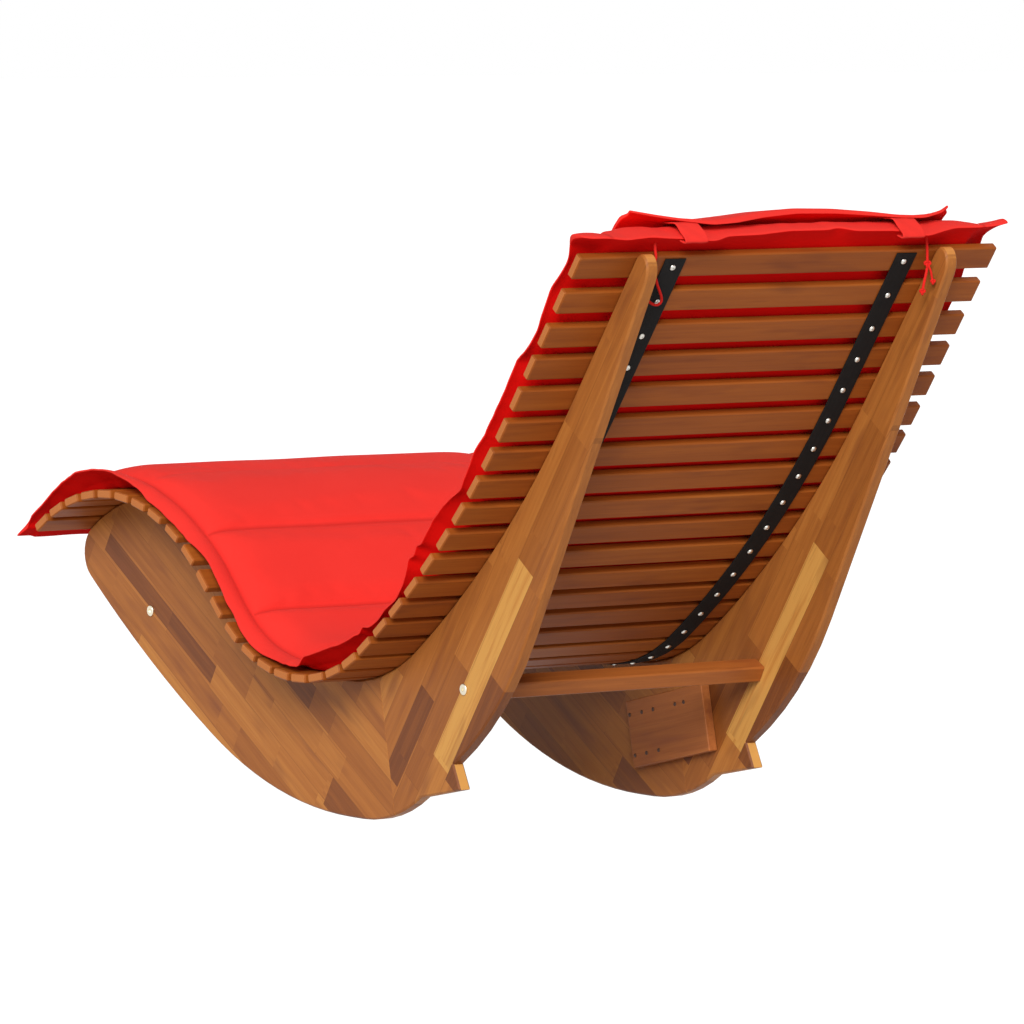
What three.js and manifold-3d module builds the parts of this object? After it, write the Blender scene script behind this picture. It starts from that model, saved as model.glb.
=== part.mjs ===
// Rocking chaise lounge: a screwed slat mat on two laminated rocker frames, with a quilted pad and a head pillow.
// Millimetres, +Z up, X across the seat, +Y towards the head end. The rockers stand on the plane Z = 0.
import * as THREE from 'three';
import { mergeVertices } from 'three/addons/utils/BufferGeometryUtils.js';
import Module from 'manifold-3d';

const wasm = await Module();
wasm.setup();

const DEGREE = Math.PI / 180;
const SIDES = [{ name: 'left', sign: 1 }, { name: 'right', sign: -1 }];

// Clearances
const restGap = 0.3;
const boreGap = 0.3;
const cutOverrun = 5;
const weldDistance = 0.0005;

// Seat line: the middle of the slat row, from the first slat at the head to the foot end
const headY = 650.3;
const headZ = 791.6;
const backSlope = 53.46 * DEGREE;
const backLength = 242;
const loinRadius = 1519;
const loinLength = 502.7;
const hollowRadius = 284.1;
const hollowLength = 390.4;
const thighLength = 71;
const kneeRadius = 346;

// Slats
const slatLength = 700;
const slatWidth = 36;
const slatThickness = 12.5;
const slatEdgeCut = 1.8;
const headPitch = 58.1;
const shoulderPitch = 53.9;
const backPitch = 51.8;
const loinPitch = 48.2;
const hollowPitch = 43.6;
const thighPitch = 50.9;
const calfPitch = 45.7;
const pitchZones = [
  { count: 2, pitch: headPitch },
  { count: 3, pitch: shoulderPitch },
  { count: 6, pitch: backPitch },
  { count: 3, pitch: loinPitch },
  { count: 7, pitch: hollowPitch },
  { count: 6, pitch: thighPitch },
  { count: 7, pitch: calfPitch },
];

// Webbing straps and the screws that hold each slat on them
const webbingX = 194;
const webbingWidth = 34;
const webbingThickness = 1.6;
const webbingEndSetback = 4;
const screwHeadRadius = 4.3;
const screwHeadTopRadius = 2.9;
const screwHeadHeight = 2.5;
const screwHeadSink = 0.5;
const screwShankRadius = 1.4;
const screwReach = 7.5;
const screwSides = 6;
const pilotRadius = 2;
const pilotDepth = 8.5;

// Side frames
const frameOuterX = 260.5;
const boardThickness = 19;
const boardEdgeCut = 2.5;
const seatBedShare = 0.42;
const rockerFlatFrontY = -12;
const rockerFlatRearY = 20;
const rockerRadius = 774;
const undersideRadius = 2280;
const frontTipRadius = 44;
const frontTipSetback = 10;
const rearRockerRadius = 265;
const kneeY = 165;
const spurSlope = 11 * DEGREE;
const spurLength = 96;
const spurEndSlope = 116 * DEGREE;
const spurEndHeight = 38;
const heelRadius = 510;
const rearEdgeSlope = 61.1 * DEGREE;
const armTipWidth = 36;
const capDrop = 3.5;
const capRearHandle = 34;
const capFrontHandle = 22;
const mitreStation = 838.5;
const mitreLean = 11.4 * DEGREE;
const mitreGap = 0.3;

// Plates that cover the mitres inside the frames
const gussetLength = 185;
const gussetHeight = 97;
const gussetThickness = 15;
const gussetTilt = 12.5 * DEGREE;
const gussetY = 76;
const gussetZ = 107;
const gussetEdgeCut = 1.2;

// Stretchers, and the bolts and barrel nuts that hold them
const stretcherSize = 25;
const stretcherEdgeCut = 2;
const rearStretcherY = 270;
const rearStretcherZ = 201;
const frontStretcherY = -527;
const frontStretcherZ = 254;
const frontStretcherTurn = 33 * DEGREE;
const boltHeadRadius = 8;
const boltHeadHeight = 2.4;
const boltHeadRounding = 0.8;
const boltShankRadius = 3;
const boltReach = 42;
const boltBoreDepth = 46;
const socketRadius = 2.9;
const socketDepth = 1.5;
const socketSides = 6;
const boltSides = 16;
const barrelRadius = 5;
const barrelLength = 18;
const barrelInset = 30;
const barrelSides = 16;

// Pad
const padHalfWidth = 344;
const padHeadStation = -44;
const padFootStation = 1737;
const padFreeStation = 1655;
const padFreeRise = 0.14;
const padFloorLift = 7.5;
const padShoulderLift = 31;
const padHaunchLift = 37;
const padCrownLift = 39;
const padEdgeLowLift = 11;
const padEdgeHighLift = 18;
const padChannelDip = 9;
const backChannelStart = 180;
const backChannelPitch = 140;
const backChannelCount = 5;
const legChannelStart = 925;
const legChannelPitch = 163;
const legChannelCount = 5;
const padHeadEndRun = 20;
const padFootEndRun = 34;
const padHeadEndFillShares = [0.15, 0.75];
const padFootEndFillShares = [0, 0.3];
const padCellShares = [0, 0.12, 0.31, 0.5, 0.69, 0.88];
const padPuffShares = [0, 0.62, 0.95, 1, 0.95, 0.62];
const padColumnShares = [-1, -0.92, -0.84, -0.45, 0, 0.45, 0.84, 0.92, 1];

// Head pillow
const pillowHalfWidth = 262;
const pillowHeadStation = -50;
const pillowFootStation = 188;
const pillowEdgeThickness = 5;
const pillowShoulderRise = 27;
const pillowHaunchRise = 41;
const pillowCrownRise = 46;
const pillowRowShares = [0, 0.09, 0.17, 0.34, 0.5, 0.66, 0.83, 0.91, 1];
const pillowFillShares = [0, 0.08, 0.55, 0.93, 1, 0.93, 0.55, 0.08, 0];
const pillowColumnShares = [-1, -0.92, -0.84, -0.45, 0, 0.45, 0.84, 0.92, 1];

// Bands that carry the pillow over the pad's head end
const bandX = 180;
const bandWidth = 42;
const bandThickness = 2.4;
const bandTopStation = -55.5;
const bandTopLift = 39;
const bandMiddleStation = -53;
const bandMiddleLift = 24;
const bandTuckStation = -43;
const bandTuckLift = 6;
const bandEndStation = -27;
const bandEndLift = 4.7;

// Tie cords: places in station along the seat line, lift from it, and X
const tieRadius = 2.2;
const tieSides = 8;
const tieRoutes = {
  left: [
    [-38, 6, 230], [-32, 2.6, 230.5], [-26, -3.5, 231], [-19.5, -8.6, 230], [-10, -9.2, 228], [0, -9.25, 224],
    [12, -9.6, 218], [24, -11.5, 211], [35, -13, 203], [45, -13.8, 196], [53, -14, 193], [58, -14, 197],
    [57, -13.6, 205], [52, -12.5, 213], [46, -11, 220], [42, -10, 227],
  ],
  right: [
    [-38, 5.9, -225], [-32, 2.6, -225], [-26, -3, -225], [-19.5, -8.8, -225], [-12, -14.4, -225],
    [-4.5, -19.9, -225.5], [3, -25.5, -224], [10.5, -31, -221.5], [18, -36.6, -219], [25.5, -42.1, -217],
  ],
};
const tieSteps = 36;

// Finishes
const woodColor = 0xb0703a;
const woodLightColor = 0xcd8a4c;
const webbingColor = 0x1c1c1e;
const steelColor = 0xc9c4b8;
const brassColor = 0xe6cf9a;
const clothColor = 0xdf2c25;
const woodFinish = new THREE.MeshStandardMaterial({ color: woodColor, roughness: 0.5, metalness: 0 });
const slatFinish = new THREE.MeshStandardMaterial({ color: woodLightColor, roughness: 0.5, metalness: 0 });
const webbingFinish = new THREE.MeshStandardMaterial({ color: webbingColor, roughness: 0.85, metalness: 0 });
const steelFinish = new THREE.MeshStandardMaterial({ color: steelColor, roughness: 0.35, metalness: 1 });
const brassFinish = new THREE.MeshStandardMaterial({ color: brassColor, roughness: 0.35, metalness: 1 });
const clothFinish = new THREE.MeshStandardMaterial({ color: clothColor, roughness: 0.8, metalness: 0 });

// Turns an outline drawn in (Y, Z) and extruded along its own Z so that it runs along X
const ACROSS = new THREE.Matrix4().makeBasis(
  new THREE.Vector3(0, 1, 0),
  new THREE.Vector3(0, 0, 1),
  new THREE.Vector3(1, 0, 0),
);

// Seat line sections: each bends by one over its radius, positive where it is hollow towards the sitter
const seatSections = [
  { length: backLength, bend: 0 },
  { length: loinLength, bend: 1 / loinRadius },
  { length: hollowLength, bend: 1 / hollowRadius },
  { length: thighLength, bend: 0 },
  { length: Infinity, bend: -1 / kneeRadius },
];

// Place and slope of the seat line at a distance along it
function seatFrame(station) {
  let y = headY;
  let z = headZ;
  let slope = backSlope;
  let left = station;
  for (const section of seatSections) {
    const run = Math.min(left, section.length);
    if (section.bend === 0) {
      y -= Math.cos(slope) * run;
      z -= Math.sin(slope) * run;
    } else {
      const next = slope - section.bend * run;
      y += (Math.sin(next) - Math.sin(slope)) / section.bend;
      z -= (Math.cos(next) - Math.cos(slope)) / section.bend;
      slope = next;
    }
    left -= run;
    if (left <= 0) break;
  }
  return { y, z, slope };
}

// A point in a slat's own frame: along the row towards the head, and up towards the sitter
function framePoint(frame, along, lift) {
  const cos = Math.cos(frame.slope);
  const sin = Math.sin(frame.slope);
  return new THREE.Vector2(frame.y + cos * along - sin * lift, frame.z + sin * along + cos * lift);
}

function seatPoint(station, lift) {
  return framePoint(seatFrame(station), 0, lift);
}

function slatStations() {
  const stations = [0];
  for (const zone of pitchZones) {
    for (let i = 0; i < zone.count; i += 1) stations.push(stations[stations.length - 1] + zone.pitch);
  }
  return stations;
}

const slatFrames = slatStations().map(seatFrame);

// Solid of a closed geometry, and back again
function toSolid(geometry) {
  const bare = geometry.clone();
  bare.deleteAttribute('normal');
  bare.deleteAttribute('uv');
  const merged = mergeVertices(bare, weldDistance);
  const corners = merged.index.array;
  const kept = [];
  for (let i = 0; i < corners.length; i += 3) {
    const [a, b, c] = [corners[i], corners[i + 1], corners[i + 2]];
    if (a !== b && b !== c && c !== a) kept.push(a, b, c);
  }
  return new wasm.Manifold(new wasm.Mesh({
    numProp: 3,
    vertProperties: Float32Array.from(merged.attributes.position.array),
    triVerts: Uint32Array.from(kept),
  }));
}

function fromSolid(solid) {
  const mesh = solid.getMesh();
  const geometry = new THREE.BufferGeometry();
  geometry.setAttribute('position', new THREE.BufferAttribute(Float32Array.from(mesh.vertProperties), 3));
  geometry.setIndex(Array.from(mesh.triVerts));
  const faceted = geometry.toNonIndexed();
  faceted.computeVertexNormals();
  return faceted;
}

// A (Y, Z) outline extruded across, centred on X = 0, with its edges cut back by edgeCut
function plank(points, width, edgeCut) {
  const geometry = new THREE.ExtrudeGeometry(new THREE.Shape(points), {
    depth: width - 2 * edgeCut,
    bevelEnabled: edgeCut > 0,
    bevelThickness: edgeCut,
    bevelSize: edgeCut,
    bevelOffset: -edgeCut,
    bevelSegments: 1,
  });
  geometry.translate(0, 0, edgeCut - width / 2);
  return geometry.applyMatrix4(ACROSS);
}

// A rectangle with its corners cut, centred on a place and turned by an angle
function cutRectangle(centre, length, height, cut, turn) {
  const a = length / 2;
  const b = height / 2;
  const corners = [
    [a, b - cut], [a - cut, b], [cut - a, b], [-a, b - cut],
    [-a, cut - b], [cut - a, -b], [a - cut, -b], [a, cut - b],
  ];
  return corners.map(([x, y]) => new THREE.Vector2(x, y).rotateAround(new THREE.Vector2(0, 0), turn).add(centre));
}

// A straight rod of equal radius with its axis along X, from fromX to toX
function rod(radius, fromX, toX, sides) {
  const geometry = new THREE.CylinderGeometry(radius, radius, toX - fromX, sides);
  geometry.rotateZ(-Math.PI / 2);
  geometry.translate((fromX + toX) / 2, 0, 0);
  return geometry;
}

// Points of a circle's arc, ends included
function arcPoints(centre, radius, from, to, steps) {
  return Array.from({ length: steps + 1 }, (_, i) => {
    const angle = from + ((to - from) * i) / steps;
    return new THREE.Vector2(centre.x + radius * Math.cos(angle), centre.y + radius * Math.sin(angle));
  });
}

function direction(angle) {
  return new THREE.Vector2(Math.cos(angle), Math.sin(angle));
}

function angleFrom(centre, point) {
  return Math.atan2(point.y - centre.y, point.x - centre.x);
}

// The higher of the two points that lie fromA from a and fromB from b
function pointAtDistances(a, fromA, b, fromB) {
  const gap = a.distanceTo(b);
  const along = (fromA * fromA - fromB * fromB + gap * gap) / (2 * gap);
  const aside = Math.sqrt(fromA * fromA - along * along);
  const unit = b.clone().sub(a).divideScalar(gap);
  const foot = a.clone().addScaledVector(unit, along);
  const square = new THREE.Vector2(-unit.y, unit.x);
  const first = foot.clone().addScaledVector(square, aside);
  const second = foot.clone().addScaledVector(square, -aside);
  return first.y > second.y ? first : second;
}

// Where each slat beds on the frame: two points under each slat, from the head to the foot
function seatBeds() {
  const reach = slatWidth * seatBedShare;
  const drop = -(slatThickness / 2 + restGap);
  const beds = slatFrames.flatMap((frame) => [framePoint(frame, reach, drop), framePoint(frame, -reach, drop)]);
  const lastFrame = slatFrames[slatFrames.length - 1];
  beds[beds.length - 1] = framePoint(lastFrame, -frontTipSetback, drop);
  return beds;
}

// The straight rear edge of the arm, as a point and a unit direction upwards
function rearEdge() {
  const along = direction(rearEdgeSlope);
  const outwards = new THREE.Vector2(along.y, -along.x);
  const seat = framePoint(slatFrames[0], 0, -(slatThickness / 2 + restGap));
  return { point: seat.addScaledVector(outwards, armTipWidth), along, outwards };
}

// Outline of one side frame in (Y, Z), counter-clockwise from the front tip along the rocker
function sideOutline() {
  const beds = seatBeds();
  const lastFrame = slatFrames[slatFrames.length - 1];
  const tip = framePoint(lastFrame, -frontTipSetback, -(slatThickness / 2 + restGap + frontTipRadius));
  const frontRocker = new THREE.Vector2(rockerFlatFrontY, rockerRadius);
  const rearRocker = new THREE.Vector2(rockerFlatRearY, rearRockerRadius);
  const underside = pointAtDistances(
    frontRocker,
    undersideRadius - rockerRadius,
    tip,
    undersideRadius - frontTipRadius,
  );
  const full = 2 * Math.PI;
  const tipTouch = angleFrom(underside, tip) + full;
  const rockerTouch = angleFrom(underside, frontRocker) + full;
  const down = 1.5 * Math.PI;
  const knee = new THREE.Vector2(
    kneeY,
    rearRockerRadius - Math.sqrt(rearRockerRadius ** 2 - (kneeY - rockerFlatRearY) ** 2),
  );
  const spurHeel = knee.clone().addScaledVector(direction(spurSlope), spurLength);
  const spurTop = spurHeel.clone().addScaledVector(direction(spurEndSlope), spurEndHeight);
  const edge = rearEdge();
  const innerLine = edge.point.clone().addScaledVector(edge.outwards, -heelRadius);
  const offset = spurTop.clone().sub(innerLine);
  const along = offset.dot(edge.along);
  const aside = offset.dot(edge.outwards);
  const heel = innerLine.clone().addScaledVector(edge.along, along + Math.sqrt(heelRadius ** 2 - aside ** 2));
  const capStart = edge.point.clone().addScaledVector(edge.along, -capDrop);
  const cap = new THREE.CubicBezierCurve(
    capStart,
    capStart.clone().addScaledVector(edge.along, capRearHandle),
    beds[0].clone().addScaledVector(direction(backSlope), capFrontHandle),
    beds[0],
  );
  return [
    ...arcPoints(underside, undersideRadius, tipTouch, rockerTouch, 8),
    ...arcPoints(frontRocker, rockerRadius, rockerTouch, down, 12).slice(1),
    ...arcPoints(rearRocker, rearRockerRadius, down, angleFrom(rearRocker, knee) + full, 6),
    spurHeel,
    ...arcPoints(heel, heelRadius, angleFrom(heel, spurTop), angleFrom(heel, heel.clone().add(edge.outwards)), 6),
    ...cap.getPoints(10),
    ...beds.slice(1),
    ...arcPoints(tip, frontTipRadius, angleFrom(tip, beds[beds.length - 1]), tipTouch, 9).slice(1, -1),
  ];
}

// A slab that holds one half of a side frame, up to the mitre less half its gap
function mitreHalf(towardsRear) {
  const top = seatPoint(mitreStation, 0);
  const up = direction(Math.PI / 2 + mitreLean);
  const rear = new THREE.Vector2(up.y, -up.x);
  const reach = 2 * slatLength;
  const sign = towardsRear ? 1 : -1;
  const face = top.clone().addScaledVector(rear, (sign * mitreGap) / 2);
  const corners = [
    face.clone().addScaledVector(up, reach),
    face.clone().addScaledVector(up, -reach),
    face.clone().addScaledVector(up, -reach).addScaledVector(rear, sign * reach),
    face.clone().addScaledVector(up, reach).addScaledVector(rear, sign * reach),
  ];
  return toSolid(plank(towardsRear ? corners : corners.reverse(), boardThickness + 2 * cutOverrun, 0));
}

// The bolted joints: place of each stretcher in (Y, Z) and its turn about X, its nuts on the side away from the rear
const stretchers = [
  { name: 'rear', y: rearStretcherY, z: rearStretcherZ, turn: rearEdgeSlope + Math.PI },
  { name: 'front', y: frontStretcherY, z: frontStretcherZ, turn: -frontStretcherTurn },
];

function boardGeometries() {
  let frame = toSolid(plank(sideOutline(), boardThickness, boardEdgeCut));
  const reach = boardThickness / 2 + cutOverrun;
  for (const joint of stretchers) {
    const bore = rod(boltShankRadius + boreGap, -reach, reach, boltSides).translate(0, joint.y, joint.z);
    frame = frame.subtract(toSolid(bore));
  }
  return {
    front: fromSolid(frame.intersect(mitreHalf(false))),
    rear: fromSolid(frame.intersect(mitreHalf(true))),
  };
}

// One slat, thickness along Z, with a pilot hole from below at each webbing strap
function slatGeometry() {
  const outline = cutRectangle(new THREE.Vector2(0, 0), slatWidth, slatThickness, slatEdgeCut, 0);
  let solid = toSolid(plank(outline, slatLength, slatEdgeCut));
  for (const side of SIDES) {
    const hole = new THREE.CylinderGeometry(pilotRadius, pilotRadius, pilotDepth + cutOverrun, screwSides);
    hole.rotateX(Math.PI / 2);
    hole.translate(side.sign * webbingX, 0, (pilotDepth - cutOverrun - slatThickness) / 2);
    solid = solid.subtract(toSolid(hole));
  }
  return fromSolid(solid);
}

// A screw in a slat's own frame, from its head below the webbing up into the pilot hole
function screwGeometry() {
  const seat = -(slatThickness / 2 + restGap + webbingThickness);
  const profile = [
    new THREE.Vector2(0, seat - screwHeadHeight),
    new THREE.Vector2(screwHeadTopRadius, seat - screwHeadHeight),
    new THREE.Vector2(screwHeadRadius, seat + screwHeadSink),
    new THREE.Vector2(screwShankRadius, seat + screwHeadSink),
    new THREE.Vector2(screwShankRadius, screwReach - slatThickness / 2),
    new THREE.Vector2(0, screwReach - slatThickness / 2),
  ];
  return new THREE.LatheGeometry(profile, screwSides).rotateX(Math.PI / 2);
}

// One webbing strap along the undersides of the slats, with its screws
function webbingGeometry() {
  const reach = slatWidth / 2 - webbingEndSetback;
  const upper = -(slatThickness / 2 + restGap);
  const lower = upper - webbingThickness;
  const upperEdge = slatFrames.flatMap((frame) => [framePoint(frame, reach, upper), framePoint(frame, -reach, upper)]);
  const lowerEdge = slatFrames.flatMap((frame) => [framePoint(frame, reach, lower), framePoint(frame, -reach, lower)]);
  let solid = toSolid(plank([...lowerEdge.reverse(), ...upperEdge].reverse(), webbingWidth, 0));
  for (const frame of slatFrames) {
    const screw = screwGeometry().rotateX(frame.slope).translate(0, frame.y, frame.z);
    solid = solid.add(toSolid(screw));
  }
  return fromSolid(solid);
}

function gussetGeometry() {
  const centre = new THREE.Vector2(gussetY, gussetZ);
  return plank(cutRectangle(centre, gussetLength, gussetHeight, gussetEdgeCut, gussetTilt), gussetThickness, gussetEdgeCut);
}

// A stretcher in its own frame, with a bolt bore in each end and a barrel bore from below
function stretcherGeometry() {
  const length = 2 * (frameOuterX - boardThickness - restGap);
  const outline = cutRectangle(new THREE.Vector2(0, 0), stretcherSize, stretcherSize, stretcherEdgeCut, 0);
  let solid = toSolid(plank(outline, length, 0));
  const barrelDepth = (barrelLength + stretcherSize) / 2 + boreGap;
  for (const side of SIDES) {
    const bolt = rod(boltShankRadius + boreGap, length / 2 - boltBoreDepth, length / 2 + cutOverrun, boltSides);
    const barrel = new THREE.CylinderGeometry(
      barrelRadius + boreGap,
      barrelRadius + boreGap,
      barrelDepth + cutOverrun,
      barrelSides,
    );
    barrel.rotateX(Math.PI / 2);
    barrel.translate(side.sign * (length / 2 - barrelInset), 0, (barrelDepth - cutOverrun - stretcherSize) / 2);
    if (side.sign < 0) bolt.rotateZ(Math.PI);
    solid = solid.subtract(toSolid(bolt)).subtract(toSolid(barrel));
  }
  return fromSolid(solid);
}

// A furniture bolt for the +X side, head outwards, on the X axis
function boltGeometry() {
  const seat = frameOuterX + restGap;
  const tip = frameOuterX - boardThickness - boltReach;
  const profile = [
    new THREE.Vector2(0, tip),
    new THREE.Vector2(boltShankRadius, tip),
    new THREE.Vector2(boltShankRadius, seat),
    new THREE.Vector2(boltHeadRadius, seat),
    new THREE.Vector2(boltHeadRadius, seat + boltHeadHeight - boltHeadRounding),
    new THREE.Vector2(boltHeadRadius - boltHeadRounding, seat + boltHeadHeight),
    new THREE.Vector2(0, seat + boltHeadHeight),
  ];
  const bolt = new THREE.LatheGeometry(profile, boltSides).rotateZ(-Math.PI / 2);
  const floor = seat + boltHeadHeight - socketDepth;
  const socket = rod(socketRadius, floor, floor + socketDepth + cutOverrun, socketSides);
  return fromSolid(toSolid(bolt).subtract(toSolid(socket)));
}

// A barrel nut for the +X side, across the bolt, along its own Z
function barrelGeometry() {
  const x = frameOuterX - boardThickness - restGap - barrelInset;
  const barrel = new THREE.CylinderGeometry(barrelRadius, barrelRadius, barrelLength, barrelSides);
  barrel.rotateX(Math.PI / 2).translate(x, 0, 0);
  const bore = rod(boltShankRadius + boreGap, x - barrelRadius - cutOverrun, x + barrelRadius + cutOverrun, boltSides);
  return fromSolid(toSolid(barrel).subtract(toSolid(bore)));
}

// A closed quilted form: each row holds as many points on top as below, from -X to +X, head row first
function quilt(rows) {
  const columns = rows[0].top.length;
  const stride = 2 * columns;
  const positions = rows.flatMap((row) => [...row.top, ...row.bottom]).flatMap((p) => [p.x, p.y, p.z]);
  const index = [];
  const patch = (a, b, c, d) => index.push(a, b, d, b, c, d);
  for (let i = 0; i + 1 < rows.length; i += 1) {
    const here = i * stride;
    const next = here + stride;
    for (let j = 0; j + 1 < columns; j += 1) {
      patch(here + j, next + j, next + j + 1, here + j + 1);
      const below = columns + j;
      patch(here + below, here + below + 1, next + below + 1, next + below);
    }
    const edge = columns - 1;
    patch(here + edge, next + edge, next + columns + edge, here + columns + edge);
    patch(here, here + columns, next + columns, next);
  }
  const last = (rows.length - 1) * stride;
  for (let j = 0; j + 1 < columns; j += 1) {
    patch(j, j + 1, columns + j + 1, columns + j);
    patch(last + j, last + columns + j, last + columns + j + 1, last + j + 1);
  }
  const geometry = new THREE.BufferGeometry();
  geometry.setAttribute('position', new THREE.Float32BufferAttribute(positions, 3));
  geometry.setIndex(index);
  const faceted = geometry.toNonIndexed();
  faceted.computeVertexNormals();
  return faceted;
}

function seatPoint3(station, lift, x) {
  const point = seatPoint(station, lift);
  return new THREE.Vector3(x, point.x, point.y);
}

// Lift of the pad's upper face at a column, before its channels and ends draw it in
const padColumnLifts = [
  padEdgeHighLift, padEdgeHighLift, padShoulderLift, padHaunchLift, padCrownLift,
  padHaunchLift, padShoulderLift, padEdgeHighLift, padEdgeHighLift,
];
const padColumnFloors = [
  padEdgeLowLift, padFloorLift, padFloorLift, padFloorLift, padFloorLift,
  padFloorLift, padFloorLift, padFloorLift, padEdgeLowLift,
];

// Stations across the pad with how full it is there: 0 at its hem, 1 in the middle of a cell
function padStations() {
  const channels = [padHeadStation];
  for (let i = 0; i < backChannelCount; i += 1) channels.push(backChannelStart + i * backChannelPitch);
  for (let i = 0; i < legChannelCount; i += 1) channels.push(legChannelStart + i * legChannelPitch);
  channels.push(padFootStation);
  const stations = [];
  for (let i = 0; i + 1 < channels.length; i += 1) {
    const run = channels[i + 1] - channels[i];
    padCellShares.forEach((share, k) => {
      stations.push({ station: channels[i] + run * share, fill: 1, puff: padPuffShares[k] });
    });
  }
  const headEnd = padHeadEndFillShares.map((fill, i) => (
    { station: padHeadStation + (i * padHeadEndRun) / 2, fill, puff: 1 }));
  const footEnd = padFootEndFillShares.map((fill, i) => (
    { station: padFootStation - (i * padFootEndRun) / 2, fill, puff: 1 }));
  const inner = stations.filter((row) => (
    row.station >= padHeadStation + padHeadEndRun && row.station <= padFootStation - padFootEndRun));
  return [...headEnd, ...inner, ...footEnd.reverse()];
}

function padGeometry() {
  const middle = (padEdgeLowLift + padEdgeHighLift) / 2;
  const rows = padStations().map(({ station, fill, puff }) => {
    const lift = (j) => {
      const body = padColumnLifts[j] - padEdgeHighLift;
      const dip = body > 0 ? padChannelDip * (1 - puff) : 0;
      return padEdgeHighLift + body * fill - dip;
    };
    const floor = (j) => padColumnFloors[j] + (middle - padColumnFloors[j]) * (1 - Math.min(1, 2 * fill)) / 2;
    const rise = padFreeRise * Math.max(0, station - padFreeStation);
    return {
      top: padColumnShares.map((share, j) => seatPoint3(station, rise + lift(j), share * padHalfWidth)),
      bottom: padColumnShares.map((share, j) => seatPoint3(station, rise + floor(j), share * padHalfWidth)),
    };
  });
  return quilt(rows);
}

const pillowFloorLift = padCrownLift + 2 * restGap;
const pillowRises = [
  0, 0, pillowShoulderRise, pillowHaunchRise, pillowCrownRise,
  pillowHaunchRise, pillowShoulderRise, 0, 0,
];

function pillowGeometry() {
  const run = pillowFootStation - pillowHeadStation;
  const rows = pillowRowShares.map((share, i) => {
    const station = pillowHeadStation + run * share;
    const top = (j) => pillowFloorLift + pillowEdgeThickness + pillowRises[j] * pillowFillShares[i];
    return {
      top: pillowColumnShares.map((part, j) => seatPoint3(station, top(j), part * pillowHalfWidth)),
      bottom: pillowColumnShares.map((part) => seatPoint3(station, pillowFloorLift, part * pillowHalfWidth)),
    };
  });
  return quilt(rows);
}

// Outline of a bent strip of even thickness along a line of points
function ribbonOutline(points, thickness) {
  const shift = (sign) => points.map((point, i) => {
    const before = points[Math.max(0, i - 1)];
    const after = points[Math.min(points.length - 1, i + 1)];
    const along = after.clone().sub(before).normalize();
    return point.clone().addScaledVector(new THREE.Vector2(-along.y, along.x), (sign * thickness) / 2);
  });
  return [...shift(-1), ...shift(1).reverse()];
}

function bandGeometry() {
  const start = pillowFloorLift + pillowEdgeThickness / 2;
  const curve = new THREE.SplineCurve([
    seatPoint(pillowHeadStation - restGap, start),
    seatPoint(bandTopStation, bandTopLift),
    seatPoint(bandMiddleStation, bandMiddleLift),
    seatPoint(bandTuckStation, bandTuckLift),
    seatPoint(bandEndStation, bandEndLift),
  ]);
  return plank(ribbonOutline(curve.getPoints(16), bandThickness), bandWidth, 0);
}

function tieGeometry(route) {
  const points = route.map(([station, lift, x]) => seatPoint3(station, lift, x));
  const path = new THREE.CatmullRomCurve3(points);
  const section = new THREE.Shape(arcPoints(new THREE.Vector2(0, 0), tieRadius, 0, 2 * Math.PI, tieSides).slice(1));
  return new THREE.ExtrudeGeometry(section, { steps: tieSteps, extrudePath: path, bevelEnabled: false });
}

// Assembly
const part = new THREE.Group();

function addMesh(name, geometry, finish) {
  const mesh = new THREE.Mesh(geometry, finish);
  mesh.name = name;
  part.add(mesh);
  return mesh;
}

const slat = slatGeometry();
slatFrames.forEach((frame, i) => {
  const mesh = addMesh(`slat_${String(i + 1).padStart(2, '0')}`, slat, slatFinish);
  mesh.position.set(0, frame.y, frame.z);
  mesh.rotation.x = frame.slope;
});

const boards = boardGeometries();
const webbing = webbingGeometry();
const gusset = gussetGeometry();
const band = bandGeometry();
for (const side of SIDES) {
  const boardX = side.sign * (frameOuterX - boardThickness / 2);
  addMesh(`front_board_${side.name}`, boards.front, woodFinish).position.x = boardX;
  addMesh(`rear_board_${side.name}`, boards.rear, woodFinish).position.x = boardX;
  const gussetX = frameOuterX - boardThickness - restGap - gussetThickness / 2;
  addMesh(`gusset_${side.name}`, gusset, woodFinish).position.x = side.sign * gussetX;
  addMesh(`webbing_${side.name}`, webbing, webbingFinish).position.x = side.sign * webbingX;
  addMesh(`pillow_band_${side.name}`, band, clothFinish).position.x = side.sign * bandX;
  addMesh(`tie_cord_${side.name}`, tieGeometry(tieRoutes[side.name]), clothFinish);
}

const stretcher = stretcherGeometry();
const bolt = boltGeometry();
const barrel = barrelGeometry();
for (const joint of stretchers) {
  const rail = addMesh(`${joint.name}_stretcher`, stretcher, woodFinish);
  rail.position.set(0, joint.y, joint.z);
  rail.rotation.x = joint.turn;
  for (const side of SIDES) {
    const boltMesh = addMesh(`${joint.name}_bolt_${side.name}`, bolt, brassFinish);
    const barrelMesh = addMesh(`${joint.name}_barrel_nut_${side.name}`, barrel, steelFinish);
    for (const mesh of [boltMesh, barrelMesh]) {
      mesh.position.set(0, joint.y, joint.z);
      mesh.rotation.set(joint.turn, 0, side.sign > 0 ? 0 : Math.PI);
    }
  }
}

addMesh('seat_pad', padGeometry(), clothFinish);
addMesh('head_pillow', pillowGeometry(), clothFinish);

// The origin is on the floor, under the middle of the whole object
const bounds = new THREE.Box3().setFromObject(part);
part.position.y = -(bounds.min.y + bounds.max.y) / 2;

export default part;
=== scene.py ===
# Looks of the rocking chaise lounge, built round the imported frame. Metres, +Z up; lengths along the seat line in mm.
import math
import random

import bpy
import numpy as np
from mathutils import Matrix, Vector


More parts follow.
